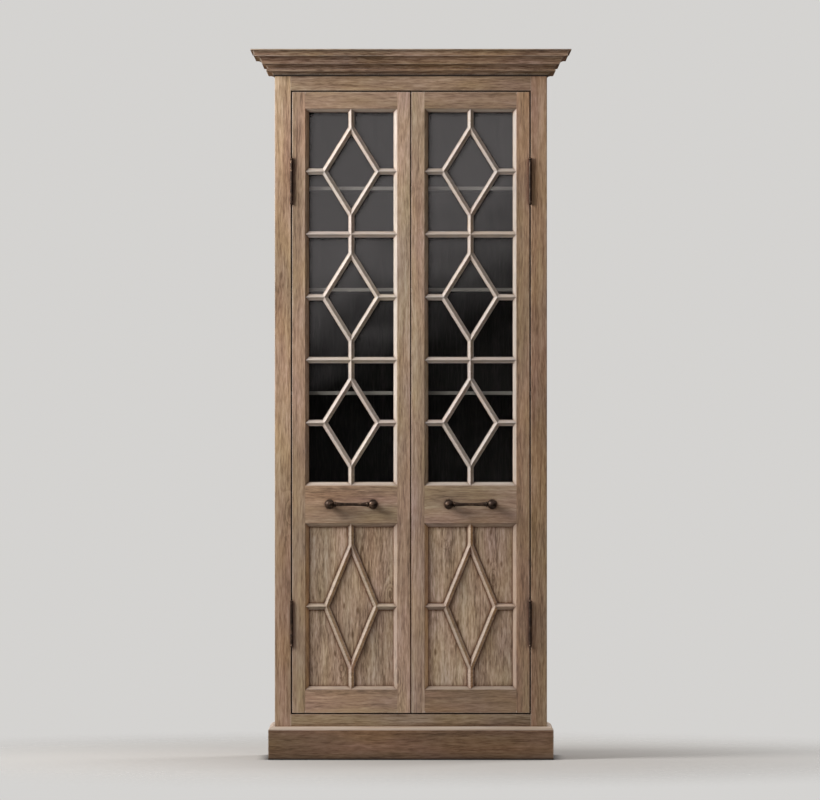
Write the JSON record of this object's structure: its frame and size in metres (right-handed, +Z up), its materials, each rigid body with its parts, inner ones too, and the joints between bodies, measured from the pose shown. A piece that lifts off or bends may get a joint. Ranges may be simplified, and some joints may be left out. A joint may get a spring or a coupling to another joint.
{
  "type": "display cabinet",
  "caption": "Tall glazed display cabinet with fretwork doors, moulded crown, plinth, adjustable shelves and horizontal bar pulls.",
  "frame": {"origin": "centre of the footprint of the overall box, on the floor", "axes": "+X to the viewer's right across the front, +Z up, and the front faces -Y"},
  "size_m": [1.081, 0.464, 2.396],
  "materials": {
    "oak": "wire-brushed, weathered",
    "inner_wood": "dark stained, matt",
    "glass": "clear",
    "dark_iron": "dark, waxed",
    "steel": "plain",
    "catch_shell": "matt"
  },
  "bodies": {
    "carcass": {"back_panel": "inner_wood", "base_back_rail": "inner_wood", "cap_board": "oak", "ceiling_board": "inner_wood", "crown_front": "oak", "crown_left": "oak", "crown_right": "oak", "cupboard_floor": "inner_wood", "cupboard_shelf": "inner_wood", "door_catches": "catch_shell", "fixed_deck": "inner_wood", "frame_bottom_rail": "oak", "frame_frieze_rail": "oak", "frame_left_stile": "oak", "frame_right_stile": "oak", "hinge_frame_leaves": "dark_iron", "hinge_frame_screws": "steel", "hinge_pins": "dark_iron", "left_side_panel": "oak", "lower_shelf": "inner_wood", "middle_shelf": "inner_wood", "plinth_front": "oak", "plinth_left": "oak", "plinth_right": "oak", "right_side_panel": "oak", "shelf_pins": "steel", "upper_shelf": "inner_wood"},
    "left_door": {"left_door_bottom_rail": "oak", "left_door_hinge_stile": "oak", "left_door_lock_rail": "oak", "left_door_meeting_stile": "oak", "left_door_pane": "glass", "left_door_panel": "oak", "left_door_top_rail": "oak", "left_glazing_beads": "inner_wood", "left_hinge_door_leaves": "dark_iron", "left_hinge_door_screws": "steel", "left_lower_fretwork": "oak", "left_pull_bar": "dark_iron", "left_pull_posts": "dark_iron", "left_pull_screws": "steel", "left_strike_plate": "steel", "left_upper_fretwork": "oak"},
    "right_door": {"right_door_bottom_rail": "oak", "right_door_hinge_stile": "oak", "right_door_lock_rail": "oak", "right_door_meeting_stile": "oak", "right_door_pane": "glass", "right_door_panel": "oak", "right_door_top_rail": "oak", "right_glazing_beads": "inner_wood", "right_hinge_door_leaves": "dark_iron", "right_hinge_door_screws": "steel", "right_lower_fretwork": "oak", "right_pull_bar": "dark_iron", "right_pull_posts": "dark_iron", "right_pull_screws": "steel", "right_strike_plate": "steel", "right_upper_fretwork": "oak"}
  },
  "joints": [
    {"name": "left_door_hinge", "type": "hinge", "parent": "carcass", "child": "left_door", "pos_m": [-0.403, -0.1565, 1.2], "axis": [0, 0, -1], "range_deg": [0, 170]},
    {"name": "right_door_hinge", "type": "hinge", "parent": "carcass", "child": "right_door", "pos_m": [0.403, -0.1565, 1.2], "axis": [0, 0, 1], "range_deg": [0, 170]}
  ]
}
